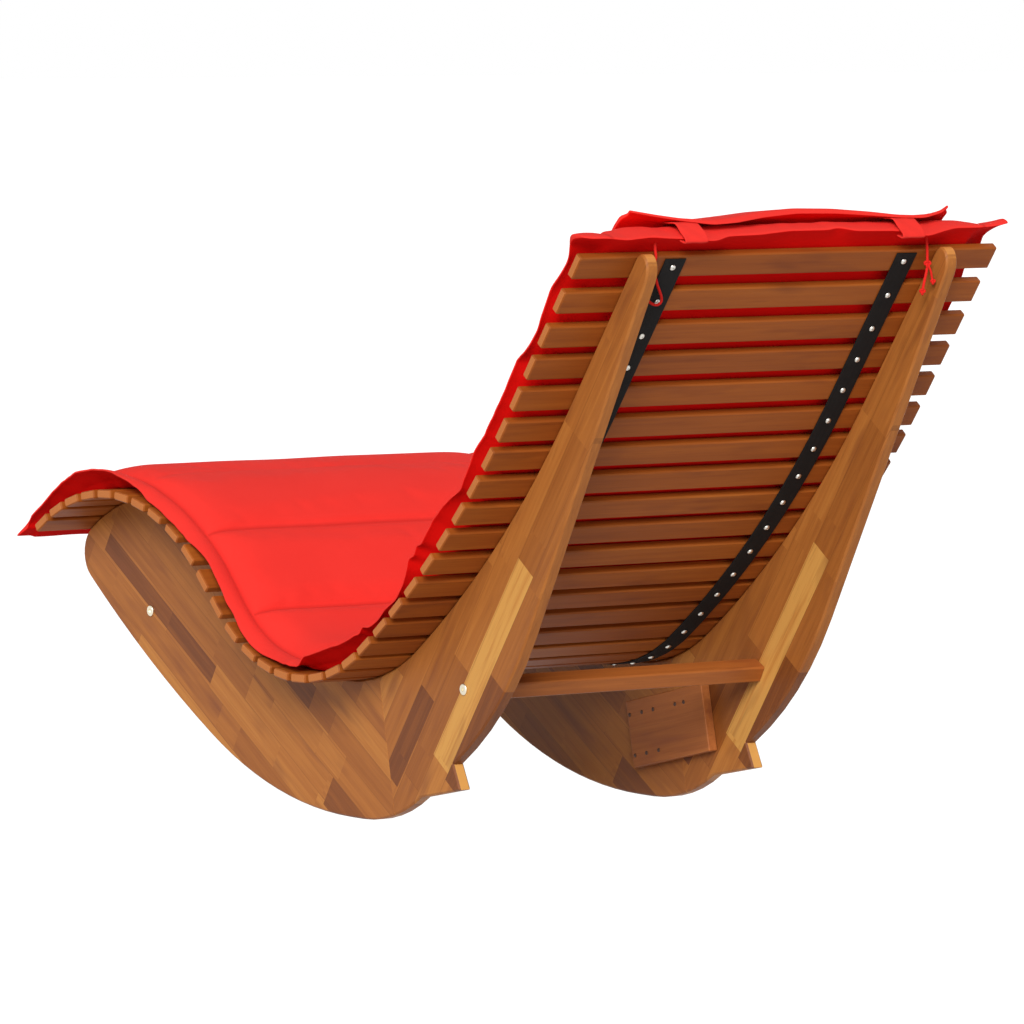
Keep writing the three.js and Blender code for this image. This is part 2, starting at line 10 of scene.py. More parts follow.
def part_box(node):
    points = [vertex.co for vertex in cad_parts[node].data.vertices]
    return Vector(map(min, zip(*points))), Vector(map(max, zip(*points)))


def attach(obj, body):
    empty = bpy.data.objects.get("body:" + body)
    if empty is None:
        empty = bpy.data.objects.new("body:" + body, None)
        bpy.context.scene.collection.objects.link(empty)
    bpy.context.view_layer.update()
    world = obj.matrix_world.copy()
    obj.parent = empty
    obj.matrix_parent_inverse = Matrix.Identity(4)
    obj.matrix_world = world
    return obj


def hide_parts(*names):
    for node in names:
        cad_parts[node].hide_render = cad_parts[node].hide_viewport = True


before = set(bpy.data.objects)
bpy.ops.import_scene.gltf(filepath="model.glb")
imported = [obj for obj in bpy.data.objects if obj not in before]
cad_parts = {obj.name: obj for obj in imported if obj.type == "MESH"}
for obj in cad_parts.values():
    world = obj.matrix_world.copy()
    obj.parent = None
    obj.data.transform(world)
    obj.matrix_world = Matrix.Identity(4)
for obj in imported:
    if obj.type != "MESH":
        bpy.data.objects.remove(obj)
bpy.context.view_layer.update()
scene = bpy.context.scene
MM = 0.001

# The seat line of the CAD source
HEAD_Y, HEAD_Z = 650.3, 791.6
SECTIONS = ((242, 0), (502.7, 1 / 1519), (390.4, 1 / 284.1), (71, 0), (1e9, -1 / 346))
BACK_SLOPE = math.radians(53.46)
PITCH_ZONES = ((2, 58.1), (3, 53.9), (6, 51.8), (3, 48.2), (7, 43.6), (6, 50.9), (7, 45.7))
STRETCHER_Y = 270
low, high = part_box("rear_stretcher")
SHIFT_Y = (low.y + high.y) / 2 / MM - STRETCHER_Y


def seat_frame(station):
    """Place (y, z) and slope of the seat line at a distance along it, in mm."""
    y, z, slope, left = HEAD_Y, HEAD_Z, BACK_SLOPE, station
    for length, bend in SECTIONS:
        run = min(left, length)
        if bend == 0:
            y -= math.cos(slope) * run
            z -= math.sin(slope) * run
        else:
            after = slope - bend * run
            y += (math.sin(after) - math.sin(slope)) / bend
            z -= (math.cos(after) - math.cos(slope)) / bend
            slope = after
        left -= run
        if left <= 0:
            break
    return y, z, slope


def seat_point(station, lift, x, along=0.0):
    """A point in metres in the row frame: station along the seat, lift off it and x across, all in mm."""
    y, z, slope = seat_frame(station)
    c, s = math.cos(slope), math.sin(slope)
    return Vector((x, y + c * along - s * lift + SHIFT_Y, z + s * along + c * lift)) * MM


def slat_stations():
    stations = [0.0]
    for count, pitch in PITCH_ZONES:
        for _ in range(count):
            stations.append(stations[-1] + pitch)
    return stations


# Camera at the photograph's viewing angle
CAMERA_AT = Vector((5.9092, 8.3971 + SHIFT_Y * MM, 1.1405))
AZIMUTH, ELEVATION = math.radians(144.8218), math.radians(4.0275)
camera = bpy.data.objects.new("camera", bpy.data.cameras.new("camera"))
scene.collection.objects.link(camera)
scene.camera = camera
level = math.cos(ELEVATION)
back = Vector((math.sin(AZIMUTH) * level, -math.cos(AZIMUTH) * level, math.sin(ELEVATION)))
camera.location = CAMERA_AT
camera.rotation_mode = "QUATERNION"
camera.rotation_quaternion = (-back).to_track_quat("-Z", "Y")
camera.data.sensor_width = 36
camera.data.lens = 7284.1 / 1024 * 36
camera.data.clip_end = 400


# Materials
class Shader:
    """The nodes of a material, or of a world, built by short calls."""

    def __init__(self, name, world=False):
        self.owner = (bpy.data.worlds if world else bpy.data.materials).new(name)
        self.owner.use_nodes = True
        self.tree = self.owner.node_tree
        self.tree.nodes.clear()
        self.surface = self.node("ShaderNodeMixShader" if world else "ShaderNodeBsdfPrincipled")
        out = self.node("ShaderNodeOutputWorld" if world else "ShaderNodeOutputMaterial")
        self.tree.links.new(self.surface.outputs[0], out.inputs[0])

    def node(self, kind, **settings):
        made = self.tree.nodes.new(kind)
        for key, value in settings.items():
            setattr(made, key, value)
        return made

    def feed(self, socket, value):
        if isinstance(value, bpy.types.NodeSocket):
            self.tree.links.new(value, socket)
        elif value is not None:
            socket.default_value = value

    def fed(self, made, *values):
        for socket, value in zip(made.inputs, values):
            self.feed(socket, value)
        return made.outputs[0]

    def math(self, operation, a, b=None):
        return self.fed(self.node("ShaderNodeMath", operation=operation), a, b)

    def plus(self, a, b):
        return self.math("ADD", a, b)

    def minus(self, a, b):
        return self.math("SUBTRACT", a, b)

    def times(self, a, b):
        return self.math("MULTIPLY", a, b)

    def over(self, a, b):
        return self.math("DIVIDE", a, b)

    def most(self, a, b):
        return self.math("MAXIMUM", a, b)

    def away(self, a, b):
        """How far a is from b."""
        return self.math("ABSOLUTE", self.minus(a, b))

    def vary(self, value, noise, amount):
        """Value moved up and down by a noise round 0.5."""
        return self.plus(value, self.times(self.minus(noise, 0.5), amount))

    def vector(self, operation, a, b=None):
        made = self.node("ShaderNodeVectorMath", operation=operation)
        self.fed(made, a, b)
        return made.outputs["Value" if operation == "DOT_PRODUCT" else "Vector"]

    def join(self, x, y, z):
        return self.fed(self.node("ShaderNodeCombineXYZ"), x, y, z)

    def split(self, value):
        made = self.node("ShaderNodeSeparateXYZ")
        self.feed(made.inputs[0], value)
        return made.outputs

    def place(self, which="Object"):
        return self.node("ShaderNodeTexCoord").outputs[which]

    def noise(self, at, scale=1.0, detail=3.0, rough=0.5, distort=0.0):
        made = self.node("ShaderNodeTexNoise")
        values = {"Vector": at, "Scale": scale, "Detail": detail, "Roughness": rough, "Distortion": distort}
        for key, value in values.items():
            self.feed(made.inputs[key], value)
        return made.outputs[0]

    def white(self, a, b=0.0, colour=False):
        made = self.node("ShaderNodeTexWhiteNoise", noise_dimensions="3D")
        self.feed(made.inputs["Vector"], self.join(a, b, 0.37))
        return made.outputs["Color" if colour else "Value"]

    def ramp(self, at, stops):
        made = self.node("ShaderNodeValToRGB")
        self.feed(made.inputs[0], at)
        band = made.color_ramp
        band.interpolation = "LINEAR"
        while len(band.elements) < len(stops):
            band.elements.new(0.5)
        for element, (position, colour) in zip(band.elements, stops):
            element.position, element.color = position, (*colour, 1)
        return made.outputs[0]

    def mix(self, share, a, b, blend="MIX"):
        made = self.node("ShaderNodeMix", data_type="RGBA", blend_type=blend)
        for index, value in ((0, share), (6, a), (7, b)):
            self.feed(made.inputs[index], (*value, 1) if isinstance(value, tuple) else value)
        return made.outputs[2]

    def blend(self, share, a, b):
        made = self.node("ShaderNodeMix", data_type="FLOAT")
        self.feed(made.inputs[0], share)
        self.feed(made.inputs[2], a)
        self.feed(made.inputs[3], b)
        return made.outputs[0]

    def span(self, value, low, high):
        """1 where value is between low and high."""
        above = self.math("GREATER_THAN", value, low)
        return self.times(above, self.math("LESS_THAN", value, high))

    def bump(self, height, distance, strength=1.0):
        made = self.node("ShaderNodeBump")
        self.feed(made.inputs["Height"], height)
        made.inputs["Distance"].default_value = distance
        made.inputs["Strength"].default_value = strength
        self.tree.links.new(made.outputs[0], self.surface.inputs["Normal"])

    def seen(self):
        """1 for what the eye sees, straight, in mirrors or through glass."""
        path = self.node("ShaderNodeLightPath").outputs
        return self.most(self.most(path["Is Camera Ray"], path["Is Glossy Ray"]), path["Is Transmission Ray"])

    def finish(self, colour, rough, metal=None, **more):
        for key, value in (("Base Color", colour), ("Roughness", rough), ("Metallic", metal)):
            self.feed(self.surface.inputs[key], value)
        for key, value in more.items():
            self.surface.inputs[key.replace("_", " ")].default_value = value
        return self.owner


WOOD_TONES = (
    (0.0, (0.185, 0.050, 0.016)),
    (0.3, (0.330, 0.098, 0.026)),
    (0.6, (0.470, 0.155, 0.040)),
    (0.85, (0.590, 0.222, 0.060)),
    (1.0, (0.740, 0.350, 0.108)),
)
WOOD_GLOSS, WOOD_BUMP, GLUE_WIDTH = 0.2, 0.00018, 0.0005
# Scales of the wood's noises along and across its grain, and how far one piece's grain is from the next one's
FIBRE_SCALE, GRAIN_SCALE, PATCH_SCALE, SEED_SPREAD = (26.0, 900.0), (4.5, 120.0), (7.0, 34.0), 7.0
RED_HEART, DARK_STREAK, GLUE_LINE = (0.23, 0.062, 0.026), (0.16, 0.045, 0.014), (0.14, 0.042, 0.014)
SLAT_TINT, BOARD_TINT, FOOT_END_GRAIN = (0.69, 0.52, 0.24), (0.90, 0.94, 0.72), (1.0, 0.50, 0.120)


def wood_colour(shader, run, across, depth, tone, seed):
    """Colour and height of planed wood whose grain runs along run; tone is its share from dark to pale."""
    moved = shader.vector("SCALE", seed)
    moved.node.inputs["Scale"].default_value = SEED_SPREAD

    def stretched(along, over):
        at = shader.join(shader.times(run, along), shader.times(across, over), shader.times(depth, over))
        return shader.vector("ADD", at, moved)

    grain_at = stretched(*GRAIN_SCALE)
    fibre = shader.noise(stretched(*FIBRE_SCALE), 1.0, 3.0, 0.6)
    grain = shader.noise(grain_at, 1.0, 4.0, 0.62, 0.35)
    patch = shader.noise(stretched(*PATCH_SCALE), 1.0, 2.0, 0.5)
    shade = shader.vary(shader.vary(tone, grain, 0.62), fibre, 0.20)
    colour = shader.ramp(shade, WOOD_TONES)
    redder = shader.most(0.0, shader.minus(patch, 0.56))
    colour = shader.mix(shader.times(redder, 3.0), colour, RED_HEART)
    streak = shader.noise(grain_at, 2.1, 2.0, 0.5)
    streak = shader.times(shader.math("LESS_THAN", streak, 0.34), 0.16)
    colour = shader.mix(streak, colour, DARK_STREAK)
    height = shader.plus(fibre, shader.times(grain, 0.5))
    return colour, height, fibre


def finish_wood(shader, colour, height, fibre, rough=0.40):
    shader.bump(height, WOOD_BUMP, 0.5)
    return shader.finish(colour, shader.plus(rough, shader.times(fibre, 0.16)), Specular_IOR_Level=WOOD_GLOSS)


def slat_wood():
    """Planed slats with the grain along X, each with its own tone, and pale end grain."""
    shader = Shader("slat_wood")
    x, y, z = shader.split(shader.place())
    chance = shader.node("ShaderNodeObjectInfo").outputs["Random"]
    seed = shader.vector("ADD", shader.white(chance, 3.1, colour=True), shader.join(chance, chance, chance))
    tone = shader.plus(0.44, shader.times(shader.white(chance, 1.7), 0.26))
    colour, height, fibre = wood_colour(shader, x, y, z, tone, seed)
    colour = shader.mix(1.0, colour, SLAT_TINT, "MULTIPLY")
    normal = shader.split(shader.node("ShaderNodeNewGeometry").outputs["True Normal"])
    end = shader.math("GREATER_THAN", shader.math("ABSOLUTE", normal[0]), 0.75)
    pores = shader.noise(shader.place(), 900.0, 2.0, 0.6)
    end_colour = shader.ramp(pores, ((0.3, (0.451, 0.134, 0.029)), (0.7, (0.653, 0.223, 0.055))))
    colour = shader.mix(shader.times(end, 0.8), colour, end_colour)
    return finish_wood(shader, colour, height, fibre, 0.46)


def strip_wood(name, angle, width, phase, length, features, end_share, end_grain):
    """Boards glued up from strips that run at an angle in (Y, Z), with end grain where they are cut across.

    features lists (v low, v high, u low, u high, tone) in mm, u along the strips and v across them.
    """
    shader = Shader(name)
    at = shader.place()
    c, s = math.cos(angle), math.sin(angle)
    moved = shader.vector("SUBTRACT", at, (0.0, SHIFT_Y * MM, 0.0))
    u = shader.vector("DOT_PRODUCT", moved, (0.0, c, s))
    v = shader.vector("DOT_PRODUCT", moved, (0.0, -s, c))
    x = shader.split(at)[0]
    lane = shader.plus(shader.over(v, width), phase)
    strip = shader.math("FLOOR", lane)
    offset = shader.times(shader.white(strip, 9.0), length)
    slot = shader.over(shader.plus(u, offset), length)
    piece = shader.math("FLOOR", slot)
    tone = shader.plus(0.30, shader.times(shader.white(strip, piece), 0.48))
    mark = None
    for v_low, v_high, u_low, u_high, feature_tone in features:
        inside = shader.times(shader.span(v, v_low * MM, v_high * MM), shader.span(u, u_low * MM, u_high * MM))
        tone = shader.blend(inside, tone, feature_tone)
        mark = inside if mark is None else shader.most(mark, inside)
        piece = shader.plus(piece, shader.times(inside, 17.0 + feature_tone * 10))
    seed = shader.white(shader.plus(strip, 0.21), piece, colour=True)
    colour, height, fibre = wood_colour(shader, u, v, x, tone, seed)
    edge = shader.away(shader.math("FRACT", lane), 0.5)
    line = shader.math("GREATER_THAN", edge, 0.5 - GLUE_WIDTH / width)
    butt = shader.away(shader.math("FRACT", slot), 0.5)
    butt = shader.math("GREATER_THAN", butt, 0.5 - GLUE_WIDTH / length)
    line = shader.most(line, shader.times(butt, shader.minus(1.0, mark)))
    colour = shader.mix(shader.times(line, 0.35), colour, GLUE_LINE)
    colour = shader.mix(1.0, colour, BOARD_TINT, "MULTIPLY")
    normal = shader.node("ShaderNodeNewGeometry").outputs["True Normal"]
    cut = shader.math("ABSOLUTE", shader.vector("DOT_PRODUCT", normal, (0.0, c, s)))
    cut = shader.times(shader.minus(cut, 0.72), 4.0)
    cut = shader.math("MINIMUM", 1.0, shader.most(0.0, cut))
    foot = shader.math("LESS_THAN", u, 0.25)
    end_colour = shader.mix(foot, end_grain, FOOT_END_GRAIN)
    colour = shader.mix(shader.times(cut, shader.blend(foot, end_share, 0.92)), colour, end_colour)
    return finish_wood(shader, colour, height, fibre)


def bar_wood(name, tone, axis, tint=(1.0, 1.0, 1.0)):
    """One solid piece whose grain runs along X, or along a direction in (Y, Z)."""
    shader = Shader(name)
    at = shader.place()
    if axis is None:
        run, across, depth = shader.split(at)
    else:
        run = shader.vector("DOT_PRODUCT", at, (0.0, math.cos(axis), math.sin(axis)))
        across = shader.vector("DOT_PRODUCT", at, (0.0, -math.sin(axis), math.cos(axis)))
        depth = shader.split(at)[0]
    chance = shader.node("ShaderNodeObjectInfo").outputs["Random"]
    colour, height, fibre = wood_colour(shader, run, across, depth, tone, shader.white(chance, 5.0, colour=True))
    colour = shader.mix(1.0, colour, tint, "MULTIPLY")
    return finish_wood(shader, colour, height, fibre)


# Half width of the painted shade along a seam, and how far from the middle the pad's cross seams end
SEAM_SHADE, CROSS_SEAM_END = 0.0048, 0.311


def cloth(name, deep, lit, thread=0.0009, gloss=0.02, shaded_seams=()):
    """Woven polyester: an over and under weave on the piece's UV, in metres, with a soft sheen, and painted shade
    along the given seams.
    """
    shader = Shader(name)
    u, v, _ = shader.split(shader.place("UV"))
    waves = [shader.math("SINE", shader.times(value, 2 * math.pi / thread)) for value in (u, v)]
    weave = shader.times(waves[0], waves[1])
    slub_at = shader.join(shader.times(u, 60.0), shader.times(v, 1400.0), 0.0)
    slub = shader.noise(slub_at, 1.0, 2.0, 0.6)
    cloud = shader.noise(shader.place(), 7.0, 3.0, 0.5)
    share = shader.plus(0.5, shader.times(weave, 0.16))
    share = shader.vary(shader.vary(share, slub, 0.35), cloud, 0.5)
    colour = shader.mix(share, deep, lit)
    # Painted shade: the colour darkens towards 0.62 of the deep red in a narrow band along each seam line, where the
    # stitched grooves lie in shade
    for axis, low, high, first, pitch in shaded_seams:
        value = shader.math("ABSOLUTE", v) if axis == "v" else u
        turns = shader.over(shader.minus(value, first), pitch)
        away = shader.away(turns, shader.math("ROUND", turns))
        near = shader.most(0.0, shader.minus(1.0, shader.over(away, SEAM_SHADE / pitch)))
        near = shader.times(near, shader.span(value, low, high))
        if axis == "u":
            near = shader.times(near, shader.math("LESS_THAN", shader.math("ABSOLUTE", v), CROSS_SEAM_END))
        colour = shader.mix(shader.times(near, 0.55), colour, tuple(c * 0.62 for c in deep))
    shader.bump(shader.plus(weave, slub), 0.00012, 0.5)
    return shader.finish(colour, 0.85, Specular_IOR_Level=0.06, Sheen_Weight=gloss, Sheen_Roughness=0.4)


RIB_WIDTH, RIB_PITCH, CORD_PITCH = 0.0085, 0.0016, 0.0011


def webbing_cloth():
    """Black webbing with a herringbone rib across its width, on UV in metres."""
    shader = Shader("webbing_cloth")
    u, v, _ = shader.split(shader.place("UV"))
    slant = shader.away(shader.math("FRACT", shader.over(v, RIB_WIDTH)), 0.5)
    phase = shader.plus(shader.over(u, RIB_PITCH), shader.times(slant, 9.0))
    rib = shader.math("SINE", shader.times(phase, 2 * math.pi))
    cord = shader.math("SINE", shader.times(v, 2 * math.pi / CORD_PITCH))
    height = shader.plus(shader.times(rib, 0.6), shader.times(cord, 0.5))
    dust = shader.noise(shader.place(), 60.0, 3.0, 0.6)
    share = shader.plus(0.45, shader.times(height, 0.2))
    colour = shader.mix(shader.vary(share, dust, 0.6), (0.005, 0.004, 0.004), (0.017, 0.015, 0.014))
    shader.bump(height, 0.0002, 0.7)
    return shader.finish(colour, 0.7, Specular_IOR_Level=0.12)


def metal(name, colour, rough):
    """Plated steel with fine turning marks and dull patches."""
    shader = Shader(name)
    at = shader.place()
    turned = shader.noise(at, 900.0, 2.0, 0.7)
    patch = shader.noise(at, 180.0, 2.0, 0.5)
    tint = shader.mix(patch, tuple(c * 0.72 for c in colour), colour)
    shader.bump(turned, 0.00004, 0.4)
    return shader.finish(tint, shader.vary(rough, patch, 0.25), 1.0)


def rusty_hole_shade_metal():
    """Dull dark brown steel of the small screws in the gussets: partly rust, partly painted shade of the holes they
    sit in.
    """
    shader = Shader("rusty_screw_metal")
    rust_and_hole_shade = shader.noise(shader.place(), 700.0, 2.0, 0.6)
    colour = shader.mix(rust_and_hole_shade, (0.030, 0.012, 0.006), (0.110, 0.045, 0.020))
    return shader.finish(colour, 0.6)


REAR_ANGLE, FRONT_ANGLE = math.radians(54.5), math.radians(148.3)
REAR_STRIPS = (
    (-140, -98, 200, 548, 0.98),
    (-57, -20, 105, 260, 0.02),
    (-182, -140, 190, 378, 0.10),
    (-98, -57, 345, 582, 0.56),
    (-98, -57, 190, 345, 0.34),
    (-20, 20, 60, 420, 0.50),
    (-57, -20, 260, 500, 0.44),
    (-140, -98, 548, 765, 0.42),
    (-98, -57, 582, 765, 0.60),
    (-182, -57, 765, 1200, 0.52),
    (-182, -140, 378, 765, 0.46),
)
FRONT_STRIPS = (
    (28, 58, 398, 732, 0.04),
    (-17, 64, 732, 900, 0.62),
    (64, 105, 300, 760, 0.50),
    (-17, 23, 312, 732, 0.42),
    (-99, -62, 172, 312, 0.08),
    (-22, -4, 250, 312, 0.32),
    (-62, -22, 60, 312, 0.64),
    (23, 64, 90, 398, 0.66),
    (-17, 23, 72, 312, 0.62),
    (-57, -17, 312, 640, 0.50),
    (-17, 30, -40, 72, 0.16),
    (-190, -137, -20, 80, 0.60),
)
SLAT_WOOD = slat_wood()
REAR_WOOD = strip_wood("rear_board_wood", REAR_ANGLE, 0.0402, 0.49, 0.39, REAR_STRIPS, 0.6, (0.78, 0.33, 0.080))
FRONT_WOOD = strip_wood("front_board_wood", FRONT_ANGLE, 0.0405, 0.43, 0.33, FRONT_STRIPS, 0.97, (1.0, 0.60, 0.130))
STRETCHER_WOOD = bar_wood("stretcher_wood", 0.52, None, (0.86, 0.78, 0.58))
GUSSET_WOOD = bar_wood("gusset_wood", 0.46, math.radians(12.5))
# Seams of the pad that get painted shade: axis, low and high ends, first line and pitch, in metres
PAD_SHADED_SEAMS = (
    ("u", 0.11, 0.82, 0.180, 0.140),
    ("u", 0.86, 1.35, 0.944, 0.158),
    ("u", 1.50, 1.64, 1.576, 1.0),
    ("v", 0.290, 0.334, 0.314, 1.0),
)
RED = ((0.78, 0.029, 0.022), (0.92, 0.045, 0.034))
PAD_CLOTH = cloth("pad_cloth", *RED, shaded_seams=PAD_SHADED_SEAMS)
PILLOW_CLOTH = cloth("pillow_cloth", *RED)
# A deeper, purer red for the undersides of the pad and pillow: painted shade, a shaded copy of the red cloth
SHADED_BACK_CLOTH = cloth("back_cloth", (0.70, 0.003, 0.002), (0.86, 0.006, 0.004), gloss=0.0)
BAND_CLOTH = cloth("band_cloth", *RED, 0.0012)
TIE_CLOTH = cloth("tie_cloth", (0.62, 0.014, 0.010), (0.86, 0.030, 0.022), 0.0012)
WEBBING_CLOTH = webbing_cloth()
SCREW_METAL = metal("screw_metal", (0.80, 0.77, 0.70), 0.36)
BOLT_METAL = metal("bolt_metal", (0.92, 0.84, 0.66), 0.36)
NUT_METAL = metal("nut_metal", (0.60, 0.59, 0.57), 0.42)
# Dark brown for the gussets' screws: rust, and painted shade of their holes
DARK_METAL = rusty_hole_shade_metal()


def give(obj, material):
    obj.data.materials.clear()
    obj.data.materials.append(material)


def soften(obj, width, segments):
    """Rounds the edges of a CAD solid by modifiers alone."""
    weld = obj.modifiers.new("weld", "WELD")
    weld.merge_threshold = 0.00002
    edge = obj.modifiers.new("edges", "BEVEL")
    edge.width = width
    edge.segments = segments
    edge.limit_method = "ANGLE"
    edge.angle_limit = math.radians(28)
    edge.use_clamp_overlap = True
    normals = obj.modifiers.new("normals", "WEIGHTED_NORMAL")
    normals.weight = 100
    normals.keep_sharp = False


# Part of a node's name, its material, and the width and segments of its rounded edges
LOOKS = (
    ("slat_", SLAT_WOOD, 0.0005, 2),
    ("rear_board", REAR_WOOD, 0.0022, 3),
    ("front_board", FRONT_WOOD, 0.0022, 3),
    ("stretcher", STRETCHER_WOOD, 0.0008, 2),
    ("gusset", GUSSET_WOOD, 0.0005, 2),
    ("barrel", NUT_METAL, 0, 0),
    ("bolt", BOLT_METAL, 0, 0),
)
for name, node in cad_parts.items():
    for part, material, width, segments in LOOKS:
        if part in name:
            give(node, material)
            if width:
                soften(node, width, segments)


# Mesh helpers
def make_mesh(name, points, faces, material, uvs=None, smooth=True):
    mesh = bpy.data.meshes.new(name)
    mesh.from_pydata([tuple(p) for p in points], [], faces)
    mesh.update()
    if uvs is not None:
        layer = mesh.uv_layers.new(name="UVMap")
        loops = np.zeros(len(mesh.loops), dtype=np.int32)
        mesh.loops.foreach_get("vertex_index", loops)
        layer.data.foreach_set("uv", np.asarray(uvs, np.float32)[loops].ravel())
    if smooth:
        mesh.polygons.foreach_set("use_smooth", np.ones(len(mesh.polygons), bool))
    made = bpy.data.objects.new(name, mesh)
    scene.collection.objects.link(made)
    give(made, material)
    return made


def close_shell(top, rows, count):
    """Faces of a closed shell: its top with the strips round its edge, and its underside."""
    base, faces, under, strips = len(top), [], [], []
    for i in range(rows - 1):
        for j in range(count - 1):
            a, b = i * count + j, (i + 1) * count + j
            faces.append((a, b, b + 1, a + 1))
            under.append((base + a, base + a + 1, base + b + 1, base + b))
        for j in (0, count - 1):
            a, b = i * count + j, (i + 1) * count + j
            strips.append((a, base + a, base + b, b) if j == 0 else (a, b, base + b, base + a))
    for i in (0, rows - 1):
        for j in range(count - 1):
            a = i * count + j
            strips.append((a, a + 1, base + a + 1, base + a) if i == 0 else (a + 1, a, base + a, base + a + 1))
    return faces + strips, under


def two_sided(name, top, bottom, rows, count, uvs, face, back):
    """A closed shell whose underside has its own cloth, given as back: here a painted shade copy of the top's cloth.
    """
    faces, under = close_shell(top, rows, count)
    made = make_mesh(name, top + bottom, faces + under, face, uvs + uvs)
    made.data.materials.append(back)
    slots = [0] * len(faces) + [1] * len(under)
    made.data.polygons.foreach_set("material_index", slots)
    return made


def subdivide(obj, levels):
    modifier = obj.modifiers.new("smooth", "SUBSURF")
    modifier.levels = levels
    modifier.render_levels = levels


def tube_rings(points, radius, sides, lobes=0, lobe_depth=0.0, twist=0.0):
    """Points and faces of a tube along a line, with lobes like twisted strands, and rounded ends."""
    count = len(points)
    tangents = []
    for i in range(count):
        before, after = points[max(0, i - 1)], points[min(count - 1, i + 1)]
        tangents.append((after - before).normalized())
    normal = tangents[0].orthogonal().normalized()
    rings, faces, run = [], [], 0.0
    for i, (point, tangent) in enumerate(zip(points, tangents)):
        normal = (normal - tangent * normal.dot(tangent)).normalized()
        side = tangent.cross(normal)
        if i:
            run += (points[i] - points[i - 1]).length
        for k in range(sides):
            angle = 2 * math.pi * k / sides
            reach = radius
            if lobes:
                reach *= 1 - lobe_depth * (0.5 - 0.5 * math.cos(lobes * (angle - run * twist)))
            rings.append(point + (normal * math.cos(angle) + side * math.sin(angle)) * reach)
    for i in range(count - 1):
        for k in range(sides):
            a, b = i * sides + k, i * sides + (k + 1) % sides
            faces.append((a, b, b + sides, a + sides))
    for ring, tangent, sign in ((0, tangents[0], -1), (count - 1, tangents[-1], 1)):
        tip = len(rings)
        rings.append(points[ring] + tangent * sign * radius * 0.6)
        for k in range(sides):
            a, b = ring * sides + k, ring * sides + (k + 1) % sides
            faces.append((b, a, tip) if sign < 0 else (a, b, tip))
    return rings, faces


def smooth_line(points, steps):
    """A Catmull-Rom line through points."""
    out = []
    for i in range(len(points) - 1):
        p0 = points[max(0, i - 1)]
        p1, p2 = points[i], points[i + 1]
        p3 = points[min(len(points) - 1, i + 2)]
        for k in range(steps):
            t = k / steps
            second, third = 2 * p0 - 5 * p1 + 4 * p2 - p3, 3 * p1 - 3 * p2 + p3 - p0
            out.append(0.5 * (2 * p1 + (p2 - p0) * t + second * t * t + third * t ** 3))
    out.append(points[-1].copy())
    return out


# Tie cords, along the routes of their CAD solids
TIE_RADIUS = 2.1
TIE_ROUTES = {
    "left": (
        (-38, 6, 230), (-32, 2.6, 230.5), (-26, -3.5, 231), (-19.5, -8.6, 230), (-10, -9.2, 228), (0, -9.25, 224),
        (12, -9.6, 218), (24, -11.5, 211), (35, -13, 203), (45, -13.8, 196), (53, -14, 193), (58, -14, 197),
        (57, -13.6, 205), (52, -12.5, 213), (46, -11, 220), (42, -10, 227),
    ),
    "right": (
        (-38, 5.9, -225), (-32, 2.6, -225), (-26, -3, -225), (-19.5, -8.8, -225), (-12, -14.4, -225),
        (-4.5, -19.9, -225.5), (3, -25.5, -224), (10.5, -31, -221.5), (18, -36.6, -219), (25.5, -42.1, -217),
    ),
}
KNOT_LOOP = 1.3
# The right cord's bow knot, its place along the route, and its second tail (x, y, z from the knot, in mm)
BOW_POINT = 5
SECOND_TAIL = ((0, 0, 0), (-2, 1.6, -5), (-4.2, 2.4, -11), (-6, 2, -18), (-7.6, 2.4, -24))


def knot_line(at, size):
    """A closed trefoil round a point."""
    out = []
    for i in range(41):
        t = 2 * math.pi * i / 40
        out.append(at + size * MM * Vector((
            math.sin(t) + 2 * math.sin(2 * t), 0.7 * -math.sin(3 * t), math.cos(t) - 2 * math.cos(2 * t))))
    return out


def tie_piece(name, lines, radius):
    points, faces = [], []
    for line in lines:
        rings, quads = tube_rings(line, radius * MM, 10, 3, 0.16, 500.0)
        base = len(points)
        points += rings
        faces += [tuple(base + i for i in face) for face in quads]
    return make_mesh(name, points, faces, TIE_CLOTH, [(p.x, p.z) for p in points])


def make_tie(side):
    route = [seat_point(s, lift, x) for s, lift, x in TIE_ROUTES[side]]
    line = smooth_line(route, 6)
    cord = tie_piece(f"tie_{side}", [line], TIE_RADIUS)
    lines = [knot_line(line[-1], KNOT_LOOP)]
    if side == "right":
        bow = route[BOW_POINT]
        lines.append(knot_line(bow, KNOT_LOOP * 1.25))
        tail = smooth_line([bow + Vector(p) * MM for p in SECOND_TAIL], 4)
        lines += [tail, knot_line(tail[-1], KNOT_LOOP * 0.8)]
    knot = tie_piece(f"tie_knot_{side}", lines, TIE_RADIUS * 0.8)
    for piece in (cord, knot):
        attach(piece, "frame")
    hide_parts(f"tie_cord_{side}")


SIDES = (("left", 1), ("right", -1))
for side, _ in SIDES:
    make_tie(side)


# Pad: a quilted body between flat flanges, on the stations of the CAD pad
PAD_HALF, PAD_ROOT, PAD_FOOT = 344, 314, 1737
PAD_FREE, PAD_FREE_RISE = 1655, 0.14
PAD_FLOOR, PAD_TOP = 7.6, 37.5
PAD_END_START, PAD_END = -18, -52
ROW_STEP = 9
# Depth and half width of a cross channel's stitch, of the dip round it, and of the root seam's stitch
CHANNEL_STITCH, CHANNEL_DIP, ROOT_STITCH = (6.6, 5.5), (3.6, 17), (1.9, 4.6)
# The root seam's lift, its share of the hem's waves, and how far the body stands above it
ROOT_LIFT, ROOT_SWAY, ROOT_RISE = 17, 0.25, 2.5
EDGE_ROUND, FLANGE_ARCH, THINNEST = 15, 3.4, 2.4
